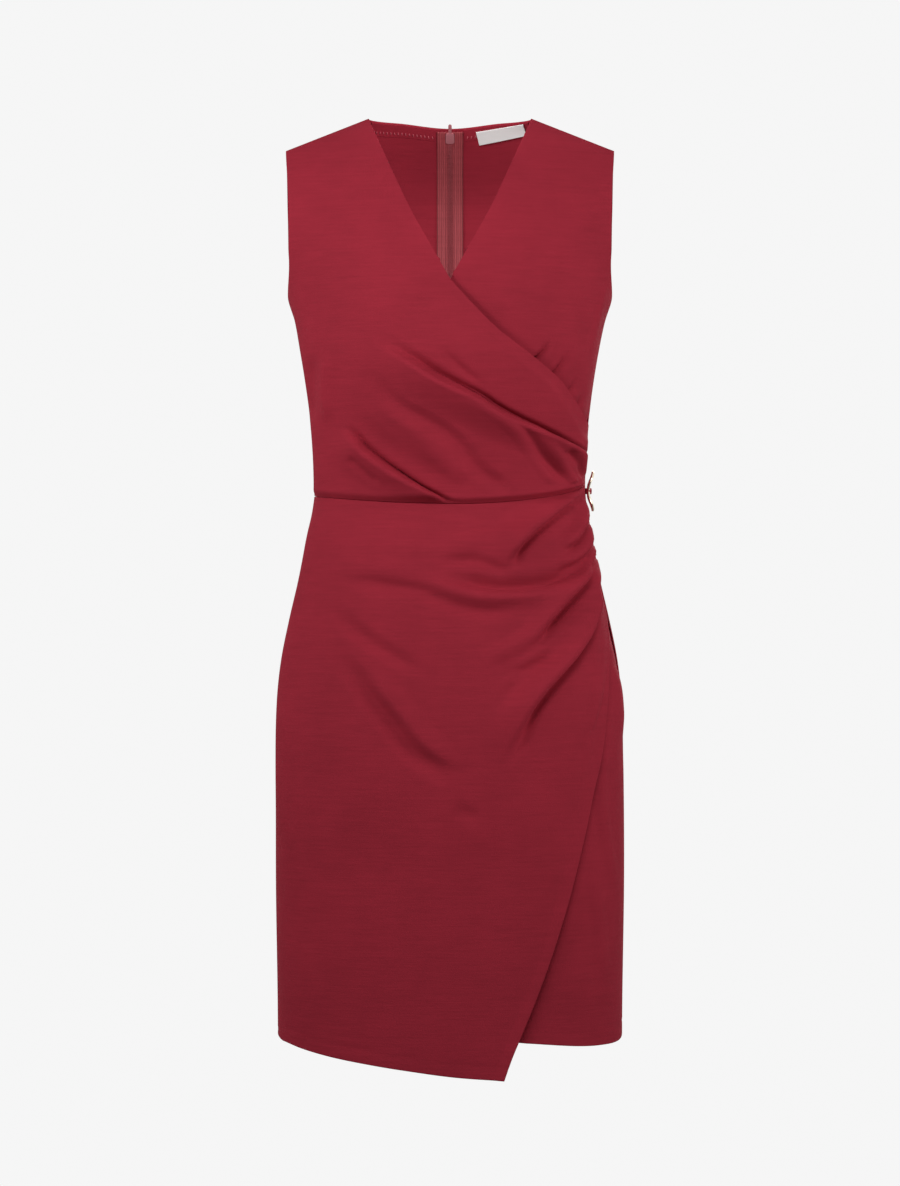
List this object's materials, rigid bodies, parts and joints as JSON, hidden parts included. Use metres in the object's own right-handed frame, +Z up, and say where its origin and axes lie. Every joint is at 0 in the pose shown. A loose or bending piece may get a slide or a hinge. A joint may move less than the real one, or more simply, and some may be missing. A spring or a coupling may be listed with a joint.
{
  "type": "wrap dress",
  "caption": "Sleeveless wrap dress, filled out as if worn: V neck, side-gathered bodice, draped knee-length wrap skirt and centre-back zip.",
  "frame": {"origin": "midway between the shoulders at the height of the middle of the shoulder seams, where the wearer holds the dress up", "axes": "+Z up, -Y the way the front faces, +X towards the wearer's left"},
  "size_m": [0.3306, 0.2589, 0.9023],
  "materials": {
    "cloth": "matte wine-red crepe",
    "tape": "woven tape",
    "label": "satin ribbon",
    "gold": "polished pale gold",
    "slider": "satin enamel"
  },
  "bodies": {
    "dress": {"front_bodice_over": "cloth", "front_bodice_under": "cloth", "back_bodice_left": "cloth", "back_bodice_right": "cloth", "front_skirt_over": "cloth", "front_skirt_under": "cloth", "back_skirt_left": "cloth", "back_skirt_right": "cloth", "zip_tape_left": "tape", "zip_tape_right": "tape", "neck_label": "label", "side_ring": "gold", "zip_slider": "slider"},
    "pull": {"zip_pull": "slider"}
  },
  "joints": [
    {"name": "pull_swing", "type": "hinge", "parent": "dress", "child": "pull", "pos_m": [0, 0.06374, 0.01268], "axis": [1, 0, 0], "range_deg": [0, 165]}
  ]
}
